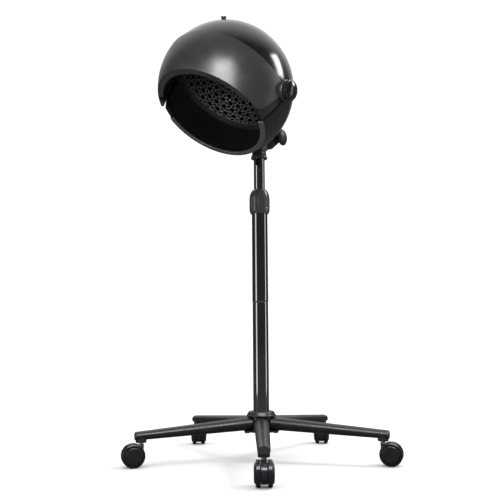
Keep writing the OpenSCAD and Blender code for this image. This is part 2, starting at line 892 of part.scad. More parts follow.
hub();
leg(0);  // leg_front
leg(1);  // leg_right
leg(2);  // leg_back_right
leg(3);  // leg_back_left
leg(4);  // leg_left
leg_end_caps();
leg_bolts();
hub_cover();
lower_tube();
tube_coupler();
upper_tube();
guide_bush();
lock_collar();
caster_stem(0);  // caster_stem_front
caster_stem(1);  // caster_stem_right
caster_stem(2);  // caster_stem_back_right
caster_stem(3);  // caster_stem_back_left
caster_stem(4);  // caster_stem_left
caster_body(0);  // caster_body_front
caster_body(1);  // caster_body_right
caster_body(2);  // caster_body_back_right
caster_body(3);  // caster_body_back_left
caster_body(4);  // caster_body_left
caster_wheels(0);  // caster_wheels_front
caster_wheels(1);  // caster_wheels_right
caster_wheels(2);  // caster_wheels_back_right
caster_wheels(3);  // caster_wheels_back_left
caster_wheels(4);  // caster_wheels_left
inner_tube();
tube_glide();
swivel_bush();
swivel_head();
swivel_pin();
tilt_bolt();
tilt_knob();
bracket();
friction_disc();
mount_bolt();
outer_shell();
rim_trim();
liner();
inner_shell();
visor_stop();
rear_housing();
motor_mount();
fan_motor();
impeller();
heater_frame();
heater_coil();
thermostat();
control_panel();
timer_knob();
heat_knob();
housing_screws();
cord_gland();
visor();
pivot_bolts();
pivot_knob(0);  // pivot_knob_right
pivot_knob(1);  // pivot_knob_left
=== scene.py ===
"""Looks of the hood hair dryer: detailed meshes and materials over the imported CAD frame.
Lengths are in millimetres in the code, and metres in Blender."""

import json
import math

import bmesh
import bpy
from mathutils import Matrix, Vector

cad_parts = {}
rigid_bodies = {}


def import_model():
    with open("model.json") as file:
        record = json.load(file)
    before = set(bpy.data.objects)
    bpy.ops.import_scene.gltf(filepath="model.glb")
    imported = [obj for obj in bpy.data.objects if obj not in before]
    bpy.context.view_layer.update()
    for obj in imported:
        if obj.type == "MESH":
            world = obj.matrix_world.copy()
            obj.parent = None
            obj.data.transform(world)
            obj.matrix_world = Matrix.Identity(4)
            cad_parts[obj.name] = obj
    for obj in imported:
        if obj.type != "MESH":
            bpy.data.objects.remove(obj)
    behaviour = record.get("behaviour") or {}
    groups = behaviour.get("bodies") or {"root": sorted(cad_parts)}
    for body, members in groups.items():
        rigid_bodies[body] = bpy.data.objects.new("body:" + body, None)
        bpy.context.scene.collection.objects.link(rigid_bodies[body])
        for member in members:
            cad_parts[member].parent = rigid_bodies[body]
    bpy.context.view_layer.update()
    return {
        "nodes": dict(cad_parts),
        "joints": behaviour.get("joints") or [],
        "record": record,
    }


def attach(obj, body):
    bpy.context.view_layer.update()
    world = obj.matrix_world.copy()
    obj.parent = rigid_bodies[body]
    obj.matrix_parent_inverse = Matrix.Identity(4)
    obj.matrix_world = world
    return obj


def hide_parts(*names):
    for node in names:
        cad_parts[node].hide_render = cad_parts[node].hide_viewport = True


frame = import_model()
nodes = frame["nodes"]
joints = {j["name"]: j for j in frame["joints"]}

MM = 0.001

# Starts of the names of the pieces that each of the two narrow lights reaches
KEY_LIGHTS = ("visor_", "perforated_", "shell_", "rim_")
BASE_LIGHTS = ("leg_", "hub_", "stem_", "caster_", "wheel_")

# Hood sizes, as in the CAD model
DOME_R = 172.5
SHELL_T = 3.0
VISOR_R = 176.3
OPENING_DROP = 92.0
TRIM_T = 4.0
LIP_R = 135.0
SEAM_ANGLE = 85.5
VISOR_REAR = 168.0
VISOR_CORNER = 20.0
SKIN_R = 169.0
SKIN_FRONT = -17.0
SHELL_FRONT = 17.5
LINER_R = 155.0
LINER_DROP = 10.0
CAP_R = 150.0
CROWN_R = 300.0
CROWN_TOP = 112.0
CAP_BOTTOM = 14.0
LIP_END = -60.0         # the visor's lip fades out this far in front of the pivots
BOSS_OUT = 181.0
KNOB_OUT = 203.0
STOP_ANGLE = 51.3
PANEL_ANGLE = 33.0
PANEL_FACE = 200.2

# Base sizes. Pairs give the value at the hub and at the tip of a leg.
LEG_NAMES = ["front", "right", "back_right", "back_left", "left"]
LEG_ENDS = (26.0, 327.0)
LEG_Z = (92.0, 73.5)
LEG_W = (40.0, 29.0)
LEG_H = (34.0, 21.0)
LEG_PLAY = 0.2          # how far a leg's skin stays inside the CAD leg
WHEEL_R = 28.0
CASTER_TRAIL = 19.0


# ---------------------------------------------------------------- frames

def vec(name, key="axis"):
    return Vector(joints[name][key])


def frame_matrix(x, z, origin):
    """The frame with these X and Z directions, in metres, for geometry given in millimetres."""
    y = z.cross(x)
    m = Matrix((x, y, z)).transposed().to_4x4()
    m.translation = origin
    return m @ Matrix.Scale(MM, 4)


WORLD = Matrix.Scale(MM, 4)
HOOD = frame_matrix(-vec("visor_flip"), vec("fan_spin"), vec("visor_flip", "pos_m"))
HINGE = frame_matrix(Vector((0, 0, 1)), vec("hood_tilt"), vec("hood_tilt", "pos_m"))
REAR = frame_matrix(-vec("visor_flip"), -vec("visor_flip").cross(vec("hood_roll")),
                    vec("visor_flip", "pos_m"))
PANEL = REAR @ Matrix.Rotation(math.radians(PANEL_ANGLE - 90), 4, "X")


def along(m, direction, shift=0.0):
    """Frame m turned so that its +Z points along a direction of m, moved that far along it."""
    d = Vector(direction).normalized()
    turn = Vector((0, 0, 1)).rotation_difference(d).to_matrix().to_4x4()
    return m @ Matrix.Translation(d * shift) @ turn


def caster_frame(name):
    """Origin on the floor under the stem, +X towards the wheels, +Y along the axle."""
    stem = vec("caster_swivel_" + name, "pos_m")
    axle = vec("wheel_spin_" + name)
    return frame_matrix(axle.cross(Vector((0, 0, 1))), Vector((0, 0, 1)),
                        Vector((stem.x, stem.y, 0)))


# ---------------------------------------------------------------- materials

def node_of(tree, kind, **inputs):
    n = tree.nodes.new(kind)
    for key, value in inputs.items():
        n.inputs[key].default_value = value
    return n


def noise(tree, coords, scale, detail=3.0):
    n = node_of(tree, "ShaderNodeTexNoise", Scale=scale, Detail=detail)
    tree.links.new(coords, n.inputs["Vector"])
    return n.outputs["Fac"]


def ranged(tree, value, low, high):
    """Maps the middle of a noise to low..high."""
    n = node_of(tree, "ShaderNodeMapRange")
    n.inputs["From Min"].default_value = 0.3
    n.inputs["From Max"].default_value = 0.7
    n.inputs["To Min"].default_value = low
    n.inputs["To Max"].default_value = high
    tree.links.new(value, n.inputs["Value"])
    return n.outputs["Result"]


def surface(name, colour, rough, vary=0.2, rough_vary=0.25, metal=0.0, grain=700.0, bump=0.05,
            cloud=9.0, wear=0.0, wear_colour=(0.3, 0.3, 0.3), coat=0.0, spec=0.5,
            stretch=(1, 1, 1)):
    """A moulded, painted or metal surface: cloudy colour and roughness, fine grain, edge wear."""
    mat = bpy.data.materials.new(name)
    mat.use_nodes = True
    t = mat.node_tree
    shader = t.nodes["Principled BSDF"]
    shader.inputs["Metallic"].default_value = metal
    shader.inputs["Coat Weight"].default_value = coat
    shader.inputs["Coat Roughness"].default_value = 0.04
    shader.inputs["Specular IOR Level"].default_value = spec
    where = t.nodes.new("ShaderNodeTexCoord")
    scaled = t.nodes.new("ShaderNodeMapping")
    scaled.inputs["Scale"].default_value = stretch
    t.links.new(where.outputs["Object"], scaled.inputs["Vector"])
    coords = scaled.outputs["Vector"]

    clouds = noise(t, coords, cloud)
    tint = t.nodes.new("ShaderNodeMix")
    tint.data_type = "RGBA"
    tint.inputs["A"].default_value = (*[c * (1 - vary) for c in colour], 1)
    tint.inputs["B"].default_value = (*[c * (1 + vary) for c in colour], 1)
    t.links.new(ranged(t, clouds, 0, 1), tint.inputs["Factor"])
    colour_out = tint.outputs["Result"]
    if wear:
        edge = t.nodes.new("ShaderNodeNewGeometry")
        edge_fac = node_of(t, "ShaderNodeMapRange")
        edge_fac.inputs["From Min"].default_value = 0.52
        edge_fac.inputs["From Max"].default_value = 0.62
        edge_fac.inputs["To Max"].default_value = wear
        t.links.new(edge.outputs["Pointiness"], edge_fac.inputs["Value"])
        worn = t.nodes.new("ShaderNodeMix")
        worn.data_type = "RGBA"
        worn.inputs["B"].default_value = (*wear_colour, 1)
        t.links.new(edge_fac.outputs["Result"], worn.inputs["Factor"])
        t.links.new(colour_out, worn.inputs["A"])
        colour_out = worn.outputs["Result"]
    t.links.new(colour_out, shader.inputs["Base Color"])

    smudge = noise(t, coords, cloud * 2.6, 5.0)
    t.links.new(ranged(t, smudge, rough * (1 - rough_vary), rough * (1 + rough_vary)),
                shader.inputs["Roughness"])
    relief = node_of(t, "ShaderNodeBump", Strength=bump, Distance=0.0004)
    t.links.new(noise(t, coords, grain, 2.0), relief.inputs["Height"])
    t.links.new(relief.outputs["Normal"], shader.inputs["Normal"])
    return mat


MAT = {
    "black_gloss_plastic": surface("hood_gloss", (0.008, 0.008, 0.0085), 0.15, grain=260, bump=0.01,
                                   cloud=6),
    "visor_gloss": surface("visor_gloss", (0.01, 0.01, 0.0105), 0.34, grain=260, bump=0.01,
                           cloud=6),
    "black_gloss_metal": surface("pole_black", (0.26, 0.26, 0.265), 0.08, metal=1.0, grain=300,
                                 bump=0.01, cloud=14, wear=0.1, stretch=(1, 1, 0.15)),
    "black_satin_metal": surface("leg_powder_coat", (0.006, 0.006, 0.0065), 0.36, grain=1500,
                                 bump=0.05, cloud=12, wear=0.08),
    "black_matte_plastic": surface("matte_moulding", (0.011, 0.011, 0.0115), 0.45, grain=1300,
                                   bump=0.15, cloud=14, spec=0.3),
    "dark_satin_plastic": surface("satin_moulding", (0.012, 0.012, 0.013), 0.32, grain=1200,
                                  bump=0.1, cloud=12, wear=0.1),
    "rim_satin": surface("rim_satin", (0.022, 0.022, 0.023), 0.34, grain=1200, bump=0.08,
                         cloud=12, wear=0.15),
    "grey_plastic": surface("grey_moulding", (0.03, 0.03, 0.032), 0.22, grain=1100, bump=0.08,
                            cloud=18, wear=0.15),
    "white_nylon": surface("nylon", (0.72, 0.71, 0.67), 0.45, vary=0.05, grain=900, bump=0.08),
    "caster_plastic": surface("caster_nylon", (0.008, 0.009, 0.013), 0.18, grain=900, bump=0.06,
                              cloud=40, wear=0.12),
    "wheel_plastic": surface("wheel_nylon", (0.006, 0.006, 0.0065), 0.2, grain=1000, bump=0.03,
                             cloud=50, wear=0.1),
    "bright_steel": surface("zinc_steel", (0.6, 0.6, 0.61), 0.28, metal=1.0, vary=0.08,
                            grain=900, bump=0.05, cloud=60),
    "chrome": surface("chrome", (0.75, 0.75, 0.77), 0.1, metal=1.0, vary=0.04, grain=400,
                      bump=0.01, cloud=40),
    "motor_steel": surface("sheet_steel", (0.45, 0.45, 0.45), 0.38, metal=1.0, vary=0.1,
                           grain=600, bump=0.08, cloud=30),
    "fibre": surface("friction_fibre", (0.36, 0.29, 0.21), 0.8, vary=0.3, grain=1600, bump=0.4),
    "mica": surface("mica_board", (0.55, 0.47, 0.34), 0.5, vary=0.25, grain=500, bump=0.2),
    "resistance_wire": surface("heater_wire", (0.38, 0.32, 0.28), 0.4, metal=0.9, grain=2500,
                               bump=0.3),
    "shell_satin": surface("shell_satin", (0.03, 0.03, 0.031), 0.45, grain=1200, bump=0.06,
                           cloud=14),
    "print_white": surface("printed_marks", (0.72, 0.72, 0.7), 0.5, vary=0.05, grain=1500,
                           bump=0.05),
}


# ---------------------------------------------------------------- mesh helpers

def piece(name, bm, m, body, material, replaces=(), sharp=38.0):
    """Turns a bmesh in millimetres in frame m into a named piece that rides on a body."""
    bm.transform(m)
    mesh = bpy.data.meshes.new(name)
    bm.to_mesh(mesh)
    bm.free()
    for p in mesh.polygons:
        p.use_smooth = True
    mesh.set_sharp_from_angle(angle=math.radians(sharp))
    obj = bpy.data.objects.new(name, mesh)
    bpy.context.scene.collection.objects.link(obj)
    obj.data.materials.append(MAT[material])
    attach(obj, body)
    if replaces:
        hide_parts(*replaces)
    return obj


def solidify(obj, thickness, bevel=0.0, segments=3):
    """Gives a skin its wall, inwards, and rounds its edges; both in millimetres."""
    wall = obj.modifiers.new("wall", "SOLIDIFY")
    wall.thickness = thickness * MM
    wall.offset = -1
    wall.use_quality_normals = True
    if bevel:
        round_edges(obj, bevel, segments)


def round_edges(obj, width, segments=3, angle=40.0):
    edge = obj.modifiers.new("edges", "BEVEL")
    edge.width = width * MM
    edge.segments = segments
    edge.limit_method = "ANGLE"
    edge.angle_limit = math.radians(angle)
    edge.harden_normals = True


def between(pair, t):
    return pair[0] + (pair[1] - pair[0]) * t


def subdivided(profile, pitch):
    """The outline with points at most about a pitch apart in height."""
    out = []
    for (r0, z0), (r1, z1) in zip(profile, profile[1:]):
        parts = max(1, round(abs(z1 - z0) / pitch))
        out += [(r0 + (r1 - r0) * i / parts, z0 + (z1 - z0) * i / parts) for i in range(parts)]
    out.append(profile[-1])
    return out


def rounded(points, radius, steps=4):
    """An outline with its inner corners rounded, as [x, y] points. The ends stay as they are."""
    out = [points[0]]
    for before, here, after in zip(points, points[1:], points[2:]):
        p, a, b = Vector(here), Vector(before), Vector(after)
        da, db = a - p, b - p
        r = min(radius, da.length * 0.45, db.length * 0.45)
        start, end = p + da.normalized() * r, p + db.normalized() * r
        for i in range(steps + 1):
            t = i / steps
            q = start * (1 - t) ** 2 + p * 2 * t * (1 - t) + end * t ** 2
            out.append((q.x, q.y))
    out.append(points[-1])
    return out


def lathe(profile, steps=96, radius_at=None, m=None, bm=None):
    """Revolves [r, z] points about Z. radius_at(angle, r, z) can vary the radius round the turn."""
    bm = bm or bmesh.new()
    m = m or Matrix.Identity(4)
    rings = []
    for r, z in profile:
        if r < 1e-6:
            rings.append([bm.verts.new(m @ Vector((0, 0, z)))])
            continue
        ring = []
        for i in range(steps):
            a = 2 * math.pi * i / steps
            q = radius_at(a, r, z) if radius_at else r
            ring.append(bm.verts.new(m @ Vector((q * math.cos(a), q * math.sin(a), z))))
        rings.append(ring)
    for low, high in zip(rings, rings[1:]):
        for i in range(steps):
            j = (i + 1) % steps
            quad = [low[i % len(low)], low[j % len(low)], high[j % len(high)], high[i % len(high)]]
            unique = list(dict.fromkeys(quad))
            if len(unique) > 2:
                bm.faces.new(unique)
    return bm


def prism(outline, z0, z1, m=None, bm=None):
    """A straight solid over an outline of [x, y] points."""
    bm = bm or bmesh.new()
    m = m or Matrix.Identity(4)
    low = [bm.verts.new(m @ Vector((x, y, z0))) for x, y in outline]
    high = [bm.verts.new(m @ Vector((x, y, z1))) for x, y in outline]
    count = len(outline)
    for i in range(count):
        j = (i + 1) % count
        bm.faces.new((low[i], low[j], high[j], high[i]))
    bm.faces.new(low[::-1])
    bm.faces.new(high)
    return bm


def outward(bm):
    bmesh.ops.recalc_face_normals(bm, faces=bm.faces)
    return bm


def front_angle(p):
    """Angle from the crown towards the front, in degrees, seen along the pivot axis."""
    return math.degrees(math.atan2(-p.y, p.z)) % 360


def pivot_sphere(radius, centre_z=0.0, step=1.5):
    """A sphere whose meridians run from pivot to pivot."""
    bm = bmesh.new()
    turns = round(360 / step)
    rows = round(180 / step)
    left = bm.verts.new((-radius, 0, centre_z))
    right = bm.verts.new((radius, 0, centre_z))
    rings = []
    for k in range(1, rows):
        side = math.radians(-90 + k * step)
        ring = []
        for i in range(turns):
            a = math.radians(i * step)
            ring.append(bm.verts.new((radius * math.sin(side),
                                      -radius * math.cos(side) * math.sin(a),
                                      centre_z + radius * math.cos(side) * math.cos(a))))
        rings.append(ring)
    for i in range(turns):
        j = (i + 1) % turns
        bm.faces.new((left, rings[0][i], rings[0][j]))
        bm.faces.new((right, rings[-1][j], rings[-1][i]))
        for a, b in zip(rings, rings[1:]):
            bm.faces.new((a[i], b[i], b[j], a[j]))
    return outward(bm)


def cut(bm, point, normal, clear=False):
    """Splits the mesh along a plane; with clear, removes what lies on the normal's side."""
    geometry = bm.verts[:] + bm.edges[:] + bm.faces[:]
    bmesh.ops.bisect_plane(bm, geom=geometry, plane_co=point, plane_no=normal, dist=1e-4,
                           clear_outer=clear)


def keep_faces(bm, wanted):
    """Removes each face whose middle isn't wanted."""
    gone = [f for f in bm.faces if not wanted(f.calc_center_median())]
    bmesh.ops.delete(bm, geom=gone, context="FACES")


def meridian(angle):
    """Normal of the half-plane at an angle from the crown, pointing further to the front."""
    a = math.radians(angle)
    return Vector((0, -math.cos(a), -math.sin(a)))


# ---------------------------------------------------------------- base

def make_leg(name, angle):
    """An oval leg that tapers to its tip, with a rounded end."""
    root_r, end_r = 30.0, 326.5
    bm = bmesh.new()
    rings = []
    stations = [0, 0.02, 0.25, 0.5, 0.75, 0.93, 0.985, 0.994, 1.0]
    shrink = [1, 1, 1, 1, 1, 1, 1, 0.97, 0.88]
    count = 64
    for t, s in zip(stations, shrink):
        radius = root_r + (end_r - root_r) * t
        u = (radius - LEG_ENDS[0]) / (LEG_ENDS[1] - LEG_ENDS[0])
        z = between(LEG_Z, u)
        w = between(LEG_W, u) / 2 * s - LEG_PLAY
        h = between(LEG_H, u) / 2 * s - LEG_PLAY
        ring = []
        for i in range(count):
            a = 2 * math.pi * i / count
            ring.append(bm.verts.new((radius, w * math.cos(a), z + h * math.sin(a))))
        rings.append(ring)
    for a, b in zip(rings, rings[1:]):
        for i in range(count):
            j = (i + 1) % count
            bm.faces.new((a[i], a[j], b[j], b[i]))
    bm.faces.new(rings[-1])
    turn = WORLD @ Matrix.Rotation(angle, 4, "Z")
    piece("leg_" + name + "_tube", outward(bm), turn, "base", "black_satin_metal",
          replaces=["leg_" + name])


def make_leg_sockets():
    """The bosses under the leg tips that hold the caster stems."""
    bm = bmesh.new()
    profile = rounded([(6.2, 57.9), (13.3, 57.9), (13.3, 66), (13.3, 72)], 1.6)
    for name in LEG_NAMES:
        m = caster_frame(name)
        m = Matrix.Translation(m.translation / MM)
        lathe(profile, 48, m=m, bm=bm)
    piece("leg_sockets", outward(bm), WORLD, "base", "black_matte_plastic",
          replaces=["leg_end_caps"])


def make_hub():
    profile = rounded([(12, 72), (46, 71.6), (46, 74.4), (30, 74.6), (30, 109), (20.7, 109)], 1.0)
    piece("hub_casting", outward(lathe(profile)), WORLD, "base", "black_satin_metal",
          replaces=["hub"])
    cover = rounded([(21.0, 109.6), (38, 109.4), (38, 112.4), (36.8, 113.4), (33, 121.0),
                     (30.5, 121.8), (21.4, 121.8), (21.4, 118)], 1.4)
    piece("hub_cover_moulding", outward(lathe(cover)), WORLD, "base", "dark_satin_plastic",
          replaces=["hub_cover"])


def make_caster(name):
    m = caster_frame(name)
    stem = rounded([(0, 40), (5.4, 40), (5.4, 51.6), (7.6, 51.6), (7.6, 54.6), (5.4, 54.8),
                    (5.4, 78), (0, 79)], 0.7)
    piece("stem_" + name, outward(lathe(stem, 40)), m, "caster_" + name, "chrome",
          replaces=["caster_stem_" + name])

    # Centre body: a disc between the wheels, with the neck that holds the stem
    axle = Matrix.Translation((CASTER_TRAIL, 0, WHEEL_R)) @ Matrix.Rotation(math.pi / 2, 4, "X")
    disc = rounded([(0, -7.05), (22.4, -7.05), (22.4, 7.05), (0, 7.05)], 1.8)
    bm = lathe(disc, 64, m=axle)
    neck = rounded([(0, 26), (6.85, 26), (6.85, 51.4), (0, 51.4)], 1.0)
    lathe(neck, 40, bm=bm)
    web = rounded([(-2, 24), (-4, 40), (-2, 49), (8, 50.5), (19, 49.5), (30, 44)], 4)
    web = [(x, z) for x, z in web] + [(26, 28), (4, 22)]
    upright = Matrix.Rotation(math.pi / 2, 4, "X")
    prism(web, -6.6, 6.6, m=upright, bm=bm)
    body = piece("caster_" + name + "_housing", outward(bm), m, "caster_" + name,
                 "caster_plastic", replaces=["caster_body_" + name])
    round_edges(body, 0.5, 2)

    # Wheels: a tread with a fine parting line, and a dished cover with a ring and a cap
    bm = bmesh.new()
    tread = rounded([(0, 7.4), (25, 7.4), (WHEEL_R - 0.1, 8.6), (WHEEL_R, 12.6),
                     (WHEEL_R - 0.5, 12.8), (WHEEL_R, 13.0), (WHEEL_R - 0.2, 16.6),
                     (25.4, 18.0), (22.4, 18.0), (21.6, 17.2), (21.0, 18.6), (20.4, 20.6),
                     (17.5, 21.5), (12, 21.9), (6, 22.0), (0, 22.0)], 0.9)
    for side in (1, -1):
        facing = axle if side == 1 else axle @ Matrix.Rotation(math.pi, 4, "X")
        lathe(tread, 72, m=facing, bm=bm)
    piece("wheel_pair_" + name, outward(bm), m, "wheels_" + name, "wheel_plastic",
          replaces=["caster_wheels_" + name])


# ---------------------------------------------------------------- pole

def make_pole():
    lower = [(20.6, 76), (20.6, 78), (20.6, 400), (20.6, 402.6), (20.1, 403.5), (19.2, 403.6)]
    piece("pole_lower", outward(lathe(lower, 128)), WORLD, "base", "black_gloss_metal",
          replaces=["lower_tube"])
    ring = [(18.5, 403.4), (20.35, 403.4), (20.5, 404.1), (20.9, 404.8), (18.5, 405)]
    piece("pole_joint_ring", outward(lathe(ring, 128)), WORLD, "base", "bright_steel",
          replaces=["tube_coupler"])
    upper = [(19.6, 404.8), (20.7, 404.9), (21.2, 405.8), (21.2, 408), (21.2, 650), (21.2, 651.8),
             (19.6, 651.8)]
    piece("pole_upper", outward(lathe(upper, 128)), WORLD, "base", "black_gloss_metal",
          replaces=["upper_tube"])
    inner = [(13.6, 240), (15.1, 240), (15.1, 242), (15.1, 796), (15.1, 798.4), (14.6, 799),
             (13.6, 799)]
    piece("pole_inner", outward(lathe(inner, 128)), WORLD, "mast", "black_gloss_metal",
          replaces=["inner_tube"])


def make_collar():
    """The lock collar: a chamfered foot, broad grip flutes and a rounded shoulder."""
    flutes = 12
    profile = rounded([(15.5, 643), (21.4, 642.2), (23.2, 642.2), (26.2, 647), (27.4, 653),
                       (27.5, 657), (27.5, 684), (27.2, 689), (26.0, 696), (23.6, 703),
                       (19.8, 708.2), (17.2, 709.8), (15.5, 709.6)], 2.2, 5)

    def radius_at(a, r, z):
        inside = min(1.0, max(0.0, (z - 655) / 2.5)) * min(1.0, max(0.0, (687 - z) / 2.5))
        wave = max(0.0, math.cos(flutes * (a + math.pi / flutes)))
        return r - 0.85 * inside * wave ** 0.7 if r > 24 else r

    piece("collar_grip", outward(lathe(subdivided(profile, 2.5), 288, radius_at)), WORLD,
          "lock_collar", "grey_plastic", replaces=["lock_collar"])


# ---------------------------------------------------------------- head

def make_tilt_knob():
    """A domed clamping knob with shallow grips round its rim."""
    grips = 14
    profile = rounded([(5.2, 34.4), (8.8, 34.4), (9.8, 41.5), (21.8, 41.8), (23.3, 43.6),
                       (23.0, 47.0)], 1.2)
    profile += [(23.5 * math.cos(a), 44 + 10.9 * math.sin(a))
                for a in [math.radians(18 + 72 * i / 12) for i in range(13)]]
    profile[-1] = (0, profile[-1][1])

    def radius_at(a, r, z):
        rim = max(0.0, 1 - abs(z - 45) / 4.5)
        return r - 0.9 * rim * max(0.0, math.cos(grips * a)) if r > 20 else r

    piece("tilt_hand_knob", outward(lathe(profile, 168, radius_at)), HINGE, "tilt_knob",
          "black_matte_plastic", replaces=["tilt_knob"])


# ---------------------------------------------------------------- hood shells

def make_outer_shell():
    """The dome with its rear skirt: open at the front, below the pivots."""
    under = SEAM_ANGLE + 3
    bm = pivot_sphere(DOME_R)
    cut(bm, (0, 0, 0), meridian(under))
    cut(bm, (0, SHELL_FRONT, 0), (0, 1, 0))
    cut(bm, (0, 0, 0), (0, 0, 1))
    cut(bm, (0, 0, TRIM_T - OPENING_DROP), (0, 0, -1), clear=True)

    def wanted(p):
        return p.y > SHELL_FRONT or (p.z > 0 and (p.y > 0 or front_angle(p) < under))

    keep_faces(bm, wanted)
    shell = piece("dome_shell", bm, HOOD, "hood", "black_gloss_plastic", replaces=["outer_shell"])
    solidify(shell, SHELL_T, 0.7)


def make_rim():
    """The lighter lip round the rear of the opening."""
    outer = math.sqrt(DOME_R ** 2 - OPENING_DROP ** 2)
    z0, z1 = -OPENING_DROP, TRIM_T - OPENING_DROP
    high = math.sqrt(DOME_R ** 2 - z1 ** 2)
    profile = rounded([(LIP_R + 3, z1), (LIP_R, z1), (LIP_R, z0), (outer, z0), (high, z1),
                       (LIP_R + 3, z1)], 0.9)
    bm = lathe(profile, 240)
    cut(bm, (0, SHELL_FRONT, 0), (0, -1, 0), clear=True)
    edges = [e for e in bm.edges if e.is_boundary]
    bmesh.ops.holes_fill(bm, edges=edges)
    piece("rim_lip", outward(bm), HOOD, "hood", "rim_satin", replaces=["rim_trim"])


def make_liner():
    """The matte liner: a bowl inside, side skins outside, and a wall that joins them."""
    bottom = TRIM_T - OPENING_DROP
    top = CAP_BOTTOM - 2.8

    def band(radius, centre_z):
        bm = pivot_sphere(radius, centre_z)
        cut(bm, (0, 0, bottom), (0, 0, -1), clear=True)
        cut(bm, (0, 0, top), (0, 0, 1), clear=True)
        cut(bm, (0, SKIN_FRONT, 0), (0, -1, 0), clear=True)
        return bm

    bm = band(LINER_R + 2.5, -LINER_DROP)
    bowl = piece("liner_bowl", bm, HOOD, "hood", "black_matte_plastic", replaces=["liner"])
    solidify(bowl, 2.5, 0.4)
    skin = piece("liner_side_skin", band(SKIN_R, 0), HOOD, "hood", "black_matte_plastic")
    solidify(skin, 2.5, 0.4)

    # The wall at the front of the liner, between the bowl and the skin
    bm = bmesh.new()
    rows = 40
    for side in (-1, 1):
        strip = []
        for i in range(rows + 1):
            z = bottom + (top - bottom) * i / rows
            inner = math.sqrt(LINER_R ** 2 - (z + LINER_DROP) ** 2 - SKIN_FRONT ** 2)
            outer = math.sqrt(SKIN_R ** 2 - z ** 2 - SKIN_FRONT ** 2)
            strip.append([bm.verts.new((side * (inner + (outer - inner) * t), SKIN_FRONT, z))
                          for t in (0.05, 0.5, 0.97)])
        for a, b in zip(strip, strip[1:]):
            for k in range(2):
                bm.faces.new((a[k], a[k + 1], b[k + 1], b[k]))
    outward(bm)
    wall = piece("liner_front_wall", bm, HOOD, "hood", "black_matte_plastic")
    thick = wall.modifiers.new("wall", "SOLIDIFY")
    thick.thickness = 2 * MM
    thick.offset = 0


def cap_point(direction):
    """Where a direction from the dome's centre meets the perforated inner shell."""
    d = direction.normalized()
    crown_z = CROWN_TOP - CROWN_R
    b = -d.z * crown_z
    reach = -b + math.sqrt(b * b - crown_z ** 2 + CROWN_R ** 2)
    soft = 1 / (1 / CAP_R ** 24 + 1 / reach ** 24) ** (1 / 24)
    return d * soft


def sphere_dir(turn, elevation):
    t, e = math.radians(turn), math.radians(elevation)
    return Vector((math.cos(e) * math.cos(t), math.cos(e) * math.sin(t), math.sin(e)))


def perforated_zone(bm, low, high, rows, columns):
    """A band of staggered large holes with a small hole in each triangle between them."""
    big = 0.29
    small = 0.13

    def site(k, j):
        return cap_point(sphere_dir((j + 0.5 * (k % 2)) * 360 / columns,
                                    low + (high - low) * k / rows))

    made = {}

    def vert(p):
        q = cap_point(p)
        key = tuple(round(c, 3) for c in q)
        if key not in made:
            made[key] = bm.verts.new(q)
        return made[key]

    def triangle(corners, solid):
        middle = sum(corners, Vector()) / 3
        near = []
        for i, v in enumerate(corners):
            nxt, prev = corners[(i + 1) % 3], corners[(i + 2) % 3]
            near.append([vert(v.lerp(nxt, big)), vert(v.lerp(prev, big)),
                         vert(v.lerp(middle, big * 1.5))])
        tips = [vert(middle.lerp(v, small * 2.2)) for v in corners]
        for i in range(3):
            j = (i + 1) % 3
            between = (corners[i] + corners[j]) / 2
            mid_edge = vert(between)
            tip_edge = vert(middle.lerp(between, small * 3.6))
            bm.faces.new((tips[i], near[i][2], near[i][0], tip_edge))
            bm.faces.new((tip_edge, near[i][0], mid_edge, near[j][1]))
            bm.faces.new((tip_edge, near[j][1], near[j][2], tips[j]))
            if solid[i]:
                bm.faces.new((vert(corners[i]), near[i][0], near[i][2], near[i][1]))

    for k in range(rows):
        last = [k == 0, k == rows - 1]
        for j in range(columns):
            shift = k % 2
            a, b = site(k, j), site(k, j + 1)
            c = site(k + 1, j + shift)
            triangle([a, b, c], [last[0], last[0], last[1]])
            d = site(k + 1, j + shift - 1)
            triangle([a, c, d], [last[0], last[1], last[1]])


def make_inner_shell():
    """The perforated shell over the head, with its plain border and flange."""
    bm = bmesh.new()
    perforated_zone(bm, 8, 44, 6, 36)
    perforated_zone(bm, 44, 68, 4, 22)
    outward(bm)
    mesh = piece("perforated_shell", bm, HOOD, "hood", "shell_satin", replaces=["inner_shell"])
    wall = mesh.modifiers.new("wall", "SOLIDIFY")
    wall.thickness = 2 * MM
    wall.offset = -1
    soft = mesh.modifiers.new("soft", "SUBSURF")
    soft.levels = 1
    soft.render_levels = 1

    def rim_of(elevation):
        p = cap_point(sphere_dir(0, elevation))
        return (p.x, p.z)

    low = rim_of(8.3)
    border = [(CAP_R - 3.2, low[1] - 0.5), (low[0] - 2.4, low[1]), low, (CAP_R - 0.6, 14.6),
              (151, 14), (167, 14), (167, 11.6), (CAP_R - 3.2, 11.6),
              (CAP_R - 3.2, low[1] - 0.5)]
    piece("shell_border", outward(lathe(rounded(border, 0.7), 240)), HOOD, "hood",
          "black_matte_plastic")
    crown = [rim_of(e) for e in (67.6, 72, 78, 84)] + [(0, CROWN_TOP)]
    inner = [(r * 0.985, z - 2.2) for r, z in crown]
    piece("shell_crown", outward(lathe(inner + crown[::-1], 96)), HOOD, "hood",
          "black_matte_plastic")


